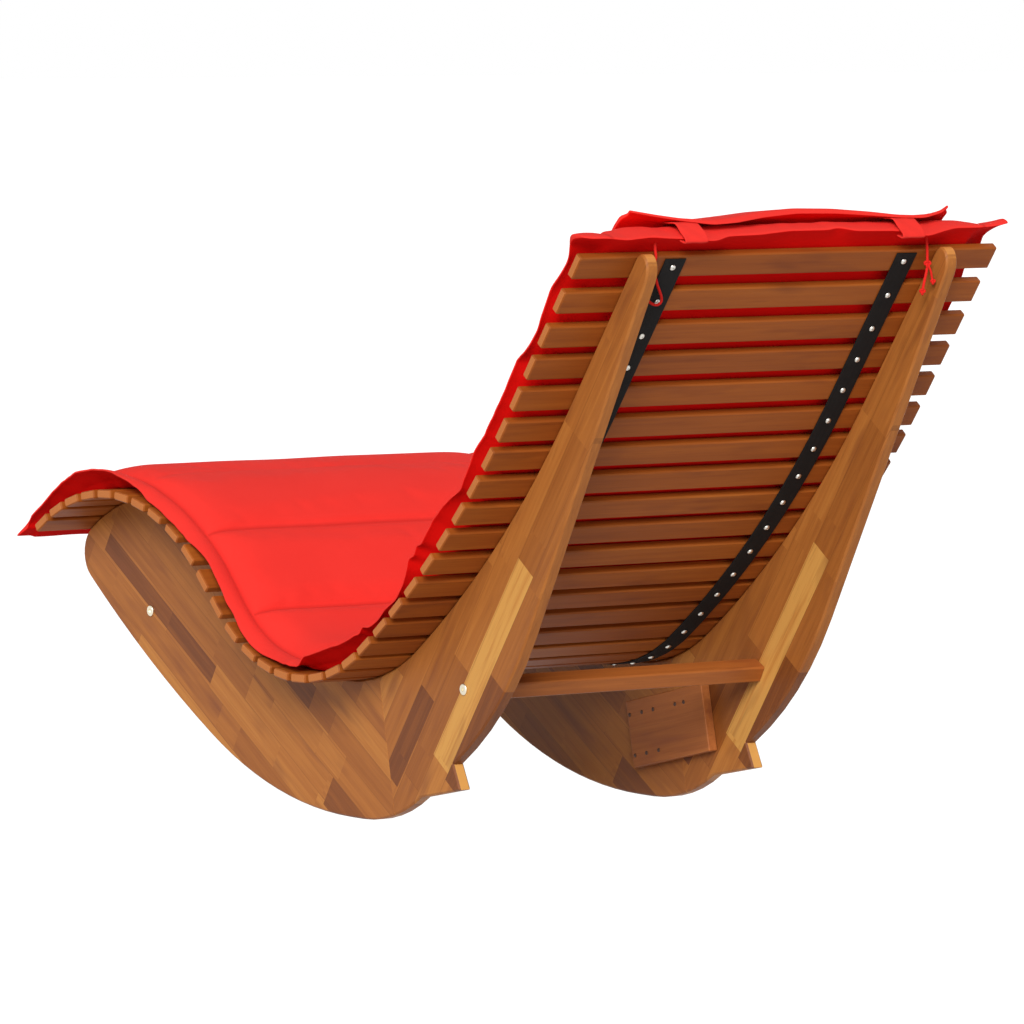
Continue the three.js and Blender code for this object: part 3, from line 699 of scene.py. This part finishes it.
# The head end's corners: X where each starts, how far each is drawn along the seat line, and outwards
NEAR_EAR, NEAR_EAR_ALONG, NEAR_EAR_OUT = 318, 5, 6
FAR_EAR, FAR_EAR_ALONG, FAR_EAR_OUT = -326, 3.5, 14
NEAR_SIDE_SWELL = (6, 26)
# Lift of the foot end's seam and of its hem
FOOT_ROOT, FOOT_HEM = 14, 16
# How far the head end's rows have gone from the end's start to its hem, and how much lift they keep
END_RUN = (0, 0.22, 0.42, 0.56, 0.67, 0.76, 0.84, 0.92, 0.985, 1)
END_LIFT = (1, 0.995, 0.965, 0.90, 0.79, 0.64, 0.47, 0.27, 0.09, 0)
# Lift of the head end's hem across the pad
HEAD_HEM_X = (
    -352, -344, -338, -307, -264, -234, -208, -161, -93, -67, -50,
    17, 71, 125, 150, 183, 199, 224, 248, 293, 335, 344,
)
HEAD_HEM_LIFT = (
    3, 3, 1, -0.7, -0.7, -9, -17, -4, -2.4, 6, 1, 1, -5.7, -7.4, -17, -14, -10.8, -9, -5.7, -10.8, -4, 3,
)
# Stations of the cross channels on the back and on the legs
CHANNELS = [180 + 140 * i for i in range(5)] + [944 + 158 * i for i in range(5)]
FAINT_CHANNEL, FAINT_SHARE = 1418, 0.2
# Lift of the left side's hem along the pad
HEM_STATIONS = (
    -44, -29, 9, 34, 60, 86, 112, 136, 160, 186, 231, 270, 310, 354, 412, 444, 491, 536, 548, 560, 572, 584,
    595, 618, 634, 667, 696, 715, 727, 740, 758, 822, 852, 903, 915, 977, 1029, 1079, 1111, 1144, 1179, 1204,
    1227, 1254, 1281, 1324, 1375, 1401, 1428, 1480, 1530, 1560, 1600, 1650, 1700, 1740,
)
HEM_LIFTS = (
    20, 22.9, 20, 24, 29.8, 27, 22.7, 21.6, 24, 35, 31.4, 31.7, 32.8, 33.6, 24, 34.9, 39.5, 33, 42, 31, 39, 30,
    25.3, 16.7, 12, 17.3, 16.1, 18, 28, 24.5, 28.2, 36, 36, 31, 16, 14.2, 9.8, 12.7, 18.8, 22.7, 25.7, 25.4,
    20.7, 14.3, 10.5, 10, 11.7, 19.9, 25, 34, 37, 38, 33, 26, 18, 16,
)


def lumps(seed, count, spread, waves):
    """A smooth random curve: sums of sines with seeded phases."""
    rng = random.Random(seed)
    terms = [(rng.uniform(*waves), rng.uniform(0, 2 * math.pi), rng.uniform(0.4, 1.0)) for _ in range(count)]
    weight = sum(t[2] for t in terms)
    return lambda at: spread * sum(a * math.sin(2 * math.pi * at / wave + phase) for wave, phase, a in terms) / weight


def bell(at, size):
    depth, half_width = size
    return depth * math.exp(-((at / half_width) ** 2))


def hem_lift(station, sign):
    """Lift of a side's hem; the right side repeats the left one's, drawn out and in by turns."""
    if sign < 0:
        station += 27 * math.sin(station / 61)
    return float(np.interp(station, HEM_STATIONS, HEM_LIFTS))


def pad_stations():
    """Rows along the pad's top, closer together at its channels, up to the roll at its foot end."""
    rows = []
    station = PAD_END_START + 5
    marks = sorted(c + d for c in CHANNELS for d in (-13, -8, -4, -1.5, 1.5, 4, 8, 13))
    while station < PAD_FOOT - 56:
        rows.append((station, 1.0))
        ahead = [m for m in marks if station + 1 < m <= station + ROW_STEP + 1]
        station = ahead[0] if ahead else station + ROW_STEP
    for k in range(1, 7):
        rows.append((PAD_FOOT - 54 + 26 * k / 6, math.cos(math.pi / 2 * k / 6)))
    last = rows[-1][0]
    rows += [(last + 6, -0.2), (last + 14, -0.5), (last + 22, -0.75), (last + 27, -0.9)]
    return rows


def pad_columns():
    """X of the pad's columns, closer together at its root seams and hems."""
    half = [9.0 * i for i in range(32)]
    half += [286, 292, 298, 303, 307, 310.5, 314, 317.5, 321, 326, 331.5, 336.5, 340.5, 343, 344]
    return [-x for x in reversed(half[1:])] + half


def hem_waves():
    """The side hems' waves: out from the side, and up and down."""
    out = {1: lumps(3, 7, 3.4, (45, 150)), -1: lumps(4, 7, 3.4, (45, 150))}
    pucker = {1: lumps(5, 9, 1.6, (14, 42)), -1: lumps(6, 9, 1.6, (14, 42))}
    return out, pucker


def pad_section(station, x, waves, swell, cross):
    """Lifts of the pad's top and underside, away from its ends, and how far out its side is."""
    out, pucker = waves
    side, reach = (1 if x >= 0 else -1), abs(x)
    channel = min(abs(station - c) for c in CHANNELS)
    groove = bell(channel, CHANNEL_STITCH) + bell(channel, CHANNEL_DIP)
    groove *= FAINT_SHARE if abs(station - FAINT_CHANNEL) < 60 else 1.0
    hem = hem_lift(station, side)
    root = ROOT_LIFT + ROOT_SWAY * (hem - ROOT_LIFT)
    over = max(0.0, (reach - PAD_ROOT) / (PAD_HALF - PAD_ROOT))
    stitched = bell(reach - PAD_ROOT, ROOT_STITCH)
    if reach < PAD_ROOT:
        full = PAD_TOP + swell(station) * 0.7 + cross(x + station * 0.35) * 0.8 - groove
        up = root + ROOT_RISE + (full - root - ROOT_RISE) * (1 - math.exp((reach - PAD_ROOT) / EDGE_ROUND))
        down = PAD_FLOOR
        if reach > PAD_ROOT - 10:
            down += (root - 4.5 - PAD_FLOOR) * (reach - PAD_ROOT + 10) / 10
    else:
        up = root + ROOT_RISE + (hem - 1.1 - root) * over ** 1.15 + FLANGE_ARCH * math.sin(math.pi * over)
        up += pucker[side](station) * over
        down = up - 2.8 - 4.2 * math.sin(math.pi * min(1, over * 0.8 + 0.2)) * (1 - over)
    up -= stitched
    down = min(down, up - THINNEST)
    if reach > 300:
        up, down = max(up, 8.4), max(down, 6.9)
    near_swell = bell(station - PAD_END_START, NEAR_SIDE_SWELL) if side > 0 else 0.0
    return up, down, x + side * over * (out[side](station) * 0.8 + near_swell)


def build_pad():
    """The pad as a closed shell, and its points that the cloth simulation holds still."""
    columns, rows = pad_columns(), pad_stations()
    waves, swell, cross = hem_waves(), lumps(11, 6, 1.3, (90, 420)), lumps(12, 6, 1.2, (120, 380))
    foot_wave, fold = lumps(9, 6, 2.2, (60, 210)), lumps(15, 6, 1.5, (24, 80))
    top, bottom, uvs = [], [], []
    for run, keep_there in reversed(list(zip(END_RUN, END_LIFT))):
        for x in columns:
            up, down, out = pad_section(PAD_END_START, x, waves, swell, cross)
            hem = float(np.interp(x, HEAD_HEM_X, HEAD_HEM_LIFT))
            keep, end = keep_there, PAD_END
            if x > NEAR_EAR:
                ear = (x - NEAR_EAR) / (PAD_HALF - NEAR_EAR)
                end += NEAR_EAR_ALONG * ear ** 2
                out += NEAR_EAR_OUT * math.sin(math.pi * 0.8 * run) * ear
            if x < FAR_EAR:
                ear = (FAR_EAR - x) / (PAD_HALF + FAR_EAR)
                end -= FAR_EAR_ALONG * ear
                keep = keep ** (1 - 0.6 * ear)
                out -= FAR_EAR_OUT * run * ear
            crease = fold(x) * math.sin(math.pi * min(1.0, run * 0.9))
            station = PAD_END_START + (end - PAD_END_START) * run
            lift = hem + 1.3 + (up - hem - 1.3) * keep + crease
            floor = down + (hem - 1.3 - down) * run ** 1.6
            top.append(seat_point(station - 0.6 * crease, lift, out))
            inward = 0.8 * run * (1 if x > 0 else -1)
            bottom.append(seat_point(station + run, min(floor, lift - 2.2), out - inward))
            uvs.append(((station - 20 * (1 - keep)) * MM, x * MM))
    for station, roll in rows:
        rise = PAD_FREE_RISE * max(0.0, station - PAD_FREE)
        for x in columns:
            up, down, out = pad_section(station, x, waves, swell, cross)
            if roll < 1:
                root, tip = FOOT_ROOT, FOOT_HEM + foot_wave(x) - (3.0 if abs(x) < 320 else 0.0)
                if roll < 0:
                    t = -roll / 0.9
                    edge = root + (tip - root) * t
                    up, down = edge + 1.5 + 2.2 * (1 - t), edge - 1.5 - 2.2 * (1 - t)
                else:
                    up = root + 3.7 + (up - root - 3.7) * roll
                    down = root - 3.7 + (down - root + 3.7) * min(1.0, roll * 2.2)
            top.append(seat_point(station, rise + up, out))
            bottom.append(seat_point(station, rise + down, out))
            uvs.append((station * MM, x * MM))
    count, ends = len(columns), len(END_RUN)
    total = len(rows) + ends
    pad = two_sided("pad", top, bottom, total, count, uvs, PAD_CLOTH, SHADED_BACK_CLOTH)
    held = set(range(len(top), 2 * len(top)))
    for i in range(total):
        station, roll = (PAD_END_START, 0.0) if i < ends - 1 else (rows[max(0, i - ends)])
        channel = min(abs(station - c) for c in CHANNELS)
        for j, x in enumerate(columns):
            if roll < 0.15 or channel < 2 or abs(x) > PAD_ROOT - 1:
                held.add(i * count + j)
    return pad, sorted(held)


CLOTH_SETTINGS = {
    "use_pressure": True, "pin_stiffness": 1.0, "mass": 0.2, "air_damping": 2.0, "tension_stiffness": 12,
    "compression_stiffness": 12, "bending_stiffness": 0.25, "quality": 5,
}


def inflate(obj, held, pressure, frames, cap, slack):
    """Lets the free cloth of a closed shell swell and wrinkle between its held points, then keeps that shape.

    No point moves farther than cap, in metres.
    """
    rest = np.zeros(len(obj.data.vertices) * 3)
    obj.data.vertices.foreach_get("co", rest)
    rest = rest.reshape(-1, 3)
    group = obj.vertex_groups.new(name="held")
    group.add(held, 1.0, "REPLACE")
    modifier = obj.modifiers.new("cloth", "CLOTH")
    settings = modifier.settings
    settings.vertex_group_mass = "held"
    settings.uniform_pressure_force = pressure
    settings.shrink_min = -slack
    for key, value in CLOTH_SETTINGS.items():
        setattr(settings, key, value)
    settings.effector_weights.gravity = 0
    modifier.collision_settings.use_collision = False
    modifier.point_cache.frame_start = 1
    modifier.point_cache.frame_end = frames
    for step in range(1, frames + 1):
        scene.frame_set(step)
    swollen = obj.evaluated_get(bpy.context.evaluated_depsgraph_get())
    moved = np.zeros(len(rest) * 3)
    swollen.to_mesh().vertices.foreach_get("co", moved)
    swollen.to_mesh_clear()
    obj.modifiers.remove(modifier)
    obj.vertex_groups.remove(group)
    step = moved.reshape(-1, 3) - rest
    size = np.linalg.norm(step, axis=1, keepdims=True)
    step *= np.minimum(1.0, cap / np.maximum(size, 1e-9))
    obj.data.vertices.foreach_set("co", (rest + step).ravel())
    obj.data.update()
    scene.frame_set(1)


pad, pad_held = build_pad()
inflate(pad, pad_held, pressure=0.9, frames=12, cap=0.0025, slack=0.004)
subdivide(pad, 1)
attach(pad, "frame")
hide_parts("seat_pad")


# Head pillow, on the head end of the pad
PILLOW_HALF = 264
PILLOW_HEAD, PILLOW_FOOT = -60, 186
PILLOW_FLOOR, PILLOW_FULL = 39.8, 36
# Lift of the pillow's rear hem across it, pulled down by the two bands, and how far the filling stands above the hem
PILLOW_HEM_X = (-266, -244, -210, -171, -133, -69, -6, 53, 103, 144, 193, 226, 263)
PILLOW_HEM_LIFT = (35, 22, 12, 13.8, 18.8, 25.6, 27, 20.5, 10.4, 7, 17, 25.6, 37)
PILLOW_BEAD = (2, 3, 4, 5, 8, 10, 11, 12, 12, 10, 4, 3, 2)
# Where the underside, drawn back over the pad's end from the hem, lies on the pad
PILLOW_REST, PILLOW_REST_LIFT = -40, 38.5
# Run and lift of the rear end's rows, from the hem up over the bead
BEAD_ROWS = ((0, 0), (-0.6, 0.25), (-0.8, 0.55), (0.3, 0.85), (2.8, 1.12), (6, 1.4))
# Half of the hem's thickness, the slope of the filling's rear side, and how far the right corner is drawn out
HEM_HALF, REAR_SLOPE, RIGHT_CORNER_X, RIGHT_CORNER_OUT = 1.4, 1.18, -200, 5
SIDE_BULGE, FOOT_BULGE = 10, 8


def pillow_hem(x):
    """Lift of the rear hem, and how far the filling stands above it."""
    return [float(np.interp(x, PILLOW_HEM_X, values)) for values in (PILLOW_HEM_LIFT, PILLOW_BEAD)]


def pillow_floor(hem, station):
    """Lift of the underside behind the hem."""
    share = (station - PILLOW_HEAD - 0.8) / (PILLOW_REST - PILLOW_HEAD - 0.8)
    return hem - 1.2 + (PILLOW_REST_LIFT - hem + 1.2) * min(1.0, max(0.0, share))


def build_pillow():
    """The pillow as a closed shell, and its points that the cloth simulation holds still."""
    sag = lumps(21, 5, 1.2, (120, 420))
    shares = [0.05, 0.075, 0.105, 0.14, 0.18] + [0.18 + 0.67 * k / 20 for k in range(1, 20)]
    shares += [0.85, 0.89, 0.92, 0.945, 0.965, 0.98, 0.992, 1.0]
    columns = [PILLOW_HALF * math.copysign(1 - (1 - abs(k / 32)) ** 1.3, k) for k in range(-32, 33)]
    count = len(columns)
    top, bottom, uvs = [], [], []
    for run, rise in BEAD_ROWS:
        for x in columns:
            hem, bead = pillow_hem(x)
            out = x - RIGHT_CORNER_OUT if x < RIGHT_CORNER_X else x
            top.append(seat_point(PILLOW_HEAD + run, hem + HEM_HALF + bead * rise, out))
            floor = pillow_floor(hem, PILLOW_HEAD + run + 0.8)
            bottom.append(seat_point(PILLOW_HEAD + run + 0.8, min(floor, hem + bead * rise - 1.0), out))
            uvs.append(((PILLOW_HEAD + run * 3) * MM, x * MM))
    for share in shares:
        station = PILLOW_HEAD + (PILLOW_FOOT - PILLOW_HEAD) * share
        along = 4 * share * (1 - share)
        start = min(1.0, (share - 0.05) / 0.16)
        start = start * start * (3 - 2 * start)
        for x in columns:
            across = max(0.0, 1 - (abs(x) / PILLOW_HALF) ** 2)
            puff = min(1.0, along ** 0.42) * min(1.0, across ** 0.46)
            hem, bead = pillow_hem(x)
            bulge = FOOT_BULGE * (1 - (abs(x) / PILLOW_HALF) ** 3) * (1 - along) ** 3 if share > 0.5 else 0.0
            full = PILLOW_FLOOR + 3.2 + (PILLOW_FULL + sag(x)) * puff
            rear = hem + HEM_HALF + bead * BEAD_ROWS[-1][1] + REAR_SLOPE * (station - PILLOW_HEAD - BEAD_ROWS[-1][0])
            up = full if share > 0.3 else min(full, rear) * (1 - start) + full * start
            down = PILLOW_FLOOR - 0.4 * puff
            if share < 0.1:
                down = min(down, pillow_floor(hem, station))
            up = max(up, down + (4.5 if share < 0.15 else THINNEST))
            round_off = (abs(x) / PILLOW_HALF) ** 6 * math.sin(math.pi * min(1.0, share * 1.6 + 0.2))
            out = x + (1 if x > 0 else -1) * SIDE_BULGE * round_off
            out -= RIGHT_CORNER_OUT * (1 - start) if x < RIGHT_CORNER_X else 0
            top.append(seat_point(station - bulge, up, out))
            bottom.append(seat_point(station - bulge, down, out))
            uvs.append((station * MM, x * MM))
    rows = len(shares) + len(BEAD_ROWS)
    pillow = two_sided("pillow", top, bottom, rows, count, uvs, PILLOW_CLOTH, SHADED_BACK_CLOTH)
    held = set(range(len(top), 2 * len(top)))
    for i in range(rows):
        for j in range(count):
            if i < len(BEAD_ROWS) + 4 or i > rows - 3 or j < 2 or j > count - 3:
                held.add(i * count + j)
    return pillow, sorted(held)


pillow, pillow_held = build_pillow()
inflate(pillow, pillow_held, pressure=1.5, frames=16, cap=0.007, slack=0.05)
subdivide(pillow, 1)
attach(pillow, "head_pillow")
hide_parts("head_pillow")


# Bands from inside the pillow down over the pad's end, tucked in under its hem: the X of each and their line
BAND_WIDTH, BAND_THICKNESS = 38, 1.8
BAND_X = {"left": 185, "right": -179}
BAND_LINE = (
    (-33.5, 49.5), (-35.5, 44), (-39.5, 38.5), (-44, 32), (-49, 26), (-54, 19), (-57.4, 12.5),
    (-58.0, 3), (-57.0, -8), (-56.0, -16), (-53.5, -20.5), (-50, -18.5), (-46, -9),
)


def build_band(side):
    """A flat strip along the bands' line, its width across X."""
    points = smooth_line([Vector((s, lift, 0)) for s, lift in BAND_LINE], 5)
    across = [-1, -0.985, -0.94, -0.6, -0.2, 0.2, 0.6, 0.94, 0.985, 1]
    top, bottom, uvs, run = [], [], [], 0.0
    for i, point in enumerate(points):
        before, after = points[max(0, i - 1)], points[min(len(points) - 1, i + 1)]
        tangent = (after - before).normalized()
        normal = Vector((tangent.y, -tangent.x, 0))
        if i:
            run += (points[i] - points[i - 1]).length
        for share in across:
            half = BAND_THICKNESS / 2 * (0.35 if abs(share) > 0.99 else 1.0)
            x = BAND_X[side] + share * BAND_WIDTH / 2
            ripple = 0.5 * math.sin(share * 5 + run * 0.2)
            for store, sign in ((top, 1), (bottom, -1)):
                at = point + normal * (half * sign + ripple)
                store.append(seat_point(at.x, at.y, x))
            uvs.append((run * MM, x * MM))
    faces, under = close_shell(top, len(points), len(across))
    return make_mesh(f"band_{side}", top + bottom, faces + under, BAND_CLOTH, uvs + uvs)


for side, _ in SIDES:
    band = build_band(side)
    subdivide(band, 1)
    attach(band, "frame")
    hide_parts(f"pillow_band_{side}")


# Webbing straps under the slats, with a pan-head screw in each slat
WEB_X, WEB_WIDTH, WEB_THICKNESS, WEB_TOP = 194, 34, 1.5, -6.6
SCREW_RINGS = ((0, 4.3), (0.5, 4.35), (1.2, 4), (1.9, 3.2), (2.3, 2.3), (2.4, 1.9))


def build_strap(side, sign):
    """A flat strap, straight under each slat."""
    line = []
    for station in slat_stations():
        line += [(station, along) for along in (14, 8, 0, -8, -14)]
    across = [-1, -0.98, -0.9, -0.5, 0, 0.5, 0.9, 0.98, 1]
    top, bottom, uvs, run, before = [], [], [], 0.0, None
    for station, along in line:
        here = seat_point(station, WEB_TOP, 0, along)
        if before is not None:
            run += (here - before).length
        before = here
        for share in across:
            thin = 0.3 if abs(share) > 0.99 else 1.0
            x = sign * WEB_X + share * WEB_WIDTH / 2
            middle = WEB_TOP - WEB_THICKNESS / 2
            top.append(seat_point(station, middle + thin * WEB_THICKNESS / 2, x, along))
            bottom.append(seat_point(station, middle - thin * WEB_THICKNESS / 2, x, along))
            uvs.append((run, x * MM))
    faces, under = close_shell(top, len(line), len(across))
    return make_mesh(f"strap_{side}", top + bottom, faces + under, WEBBING_CLOTH, uvs + uvs)


def screw_heads(name, places, scale=1.0, material=SCREW_METAL):
    """Pan heads with a cross recess. places are (origin, outward, turn)."""
    sides = 24
    points, faces = [], []
    for origin, outward, turn in places:
        first = Matrix.Rotation(turn, 3, outward) @ outward.orthogonal().normalized()
        second = outward.cross(first)
        rings = [(h, [r] * sides) for h, r in SCREW_RINGS]
        star = [1.75 if k % 6 in (0, 1) else 0.62 for k in range(sides)]
        rings += [(2.38, star), (1.1, [r * 0.7 for r in star])]
        start = len(points)
        for height, reaches in rings:
            for k, reach in enumerate(reaches):
                angle = 2 * math.pi * (k + 0.5) / sides
                ray = first * math.cos(angle) + second * math.sin(angle)
                points.append(origin + (outward * height + ray * reach) * MM * scale)
        for i in range(len(rings) - 1):
            for k in range(sides):
                a, b = start + i * sides + k, start + i * sides + (k + 1) % sides
                faces.append((a, b, b + sides, a + sides))
        faces.append([start + (len(rings) - 1) * sides + k for k in range(sides)])
        faces.append([start + k for k in reversed(range(sides))])
    return make_mesh(name, points, faces, material, smooth=False)


for side, sign in SIDES:
    strap = build_strap(side, sign)
    rng = random.Random(40 + sign)
    places = []
    for station in slat_stations():
        slope = seat_frame(station)[2]
        outward = Vector((0, math.sin(slope), -math.cos(slope)))
        places.append((seat_point(station, WEB_TOP - WEB_THICKNESS, sign * WEB_X), outward, rng.uniform(0, 1.5)))
    screws = screw_heads(f"strap_screws_{side}", places)
    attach(strap, "frame")
    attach(screws, "frame")
    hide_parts(f"webbing_{side}")


# Screws in the gussets' inner faces: (u, v) in mm from the plate's middle, along and across its grain
GUSSET_FACE, GUSSET_Y, GUSSET_Z, GUSSET_ANGLE = 226.2, 76, 107, math.radians(12.5)
GUSSET_SCREWS = ((-86, 28), (-56, 28), (-28, 28), (26, 28), (47, 28), (-85, -31), (-57, -31), (-27, -31))
for side, sign in SIDES:
    places = []
    for u, v in GUSSET_SCREWS:
        y = GUSSET_Y + SHIFT_Y + u * math.cos(GUSSET_ANGLE) - v * math.sin(GUSSET_ANGLE)
        z = GUSSET_Z + u * math.sin(GUSSET_ANGLE) + v * math.cos(GUSSET_ANGLE)
        places.append((Vector((sign * GUSSET_FACE, y, z)) * MM, Vector((-sign, 0, 0)), 0.3 * u))
    screws = screw_heads(f"gusset_screws_{side}", places, 0.68, DARK_METAL)
    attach(screws, "frame")


# Floor, backdrop and light
FLOOR_GLOW, DOME_LIGHT = 1.05, 0.38


def floor_material():
    """White to the eye, with no shadow on it, and pale to the light that falls back from it."""
    shader = Shader("floor")
    speck = shader.noise(shader.place(), 3.0, 2.0, 0.5)
    seen = shader.seen()
    pale = shader.mix(speck, (0.61, 0.61, 0.61), (0.63, 0.63, 0.63))
    shader.finish(shader.mix(seen, pale, (0.02, 0.02, 0.02)), 0.9)
    shader.feed(shader.surface.inputs["Emission Color"], (1, 1, 1, 1))
    shader.feed(shader.surface.inputs["Emission Strength"], shader.times(seen, FLOOR_GLOW))
    return shader.owner


bpy.ops.mesh.primitive_plane_add(size=160, location=(0, 0, -0.0005))
floor = bpy.context.object
floor.name = "floor"
give(floor, floor_material())

# White to the eye; a dim dome for the light
sky = Shader("studio", world=True)
scene.world = sky.owner
sky.feed(sky.surface.inputs[0], sky.seen())
for index, strength in ((1, DOME_LIGHT), (2, 1.0)):
    white = sky.fed(sky.node("ShaderNodeBackground"), (1, 1, 1, 1), strength)
    sky.feed(sky.surface.inputs[index], white)

# One broad sun from the near rear side
KEY_TOWARDS, KEY_STRENGTH, KEY_SPREAD = (0.60, 0.665, 0.45), 2.95, math.radians(26)
lamp = bpy.data.lights.new("key", "SUN")
lamp.energy, lamp.angle = KEY_STRENGTH, KEY_SPREAD
key = bpy.data.objects.new("key", lamp)
scene.collection.objects.link(key)
key.rotation_mode = "QUATERNION"
key.rotation_quaternion = Vector(KEY_TOWARDS).to_track_quat("Z", "Y")

scene.view_settings.view_transform = "Standard"
